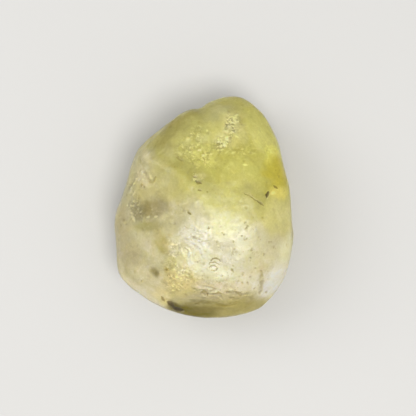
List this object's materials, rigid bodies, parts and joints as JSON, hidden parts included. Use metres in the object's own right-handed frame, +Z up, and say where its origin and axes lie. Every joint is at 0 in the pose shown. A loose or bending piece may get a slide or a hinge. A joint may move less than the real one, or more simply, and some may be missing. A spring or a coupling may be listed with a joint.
{
  "type": "libyan desert glass nodule",
  "caption": "Loose, wind-worn nodule of see-through yellow natural glass with a milky veil, soft faces, hollows, ridges and pits, lying on a small worn flat.",
  "frame": {"origin": "on the worn flat that the nodule lies on, under the middle of its plan", "axes": "+Z up, out of the broad crown; +Y along the nodule's length, towards its narrow end; +X across it"},
  "size_m": [0.0258, 0.032, 0.0159],
  "materials": {
    "desert_glass": "satin, sand-worn surface over clear pale-yellow silica glass, with a creamy veil, small bubbles and a brown inclusion"
  },
  "bodies": {
    "root": {"desert_glass": "desert_glass"}
  },
  "joints": []
}
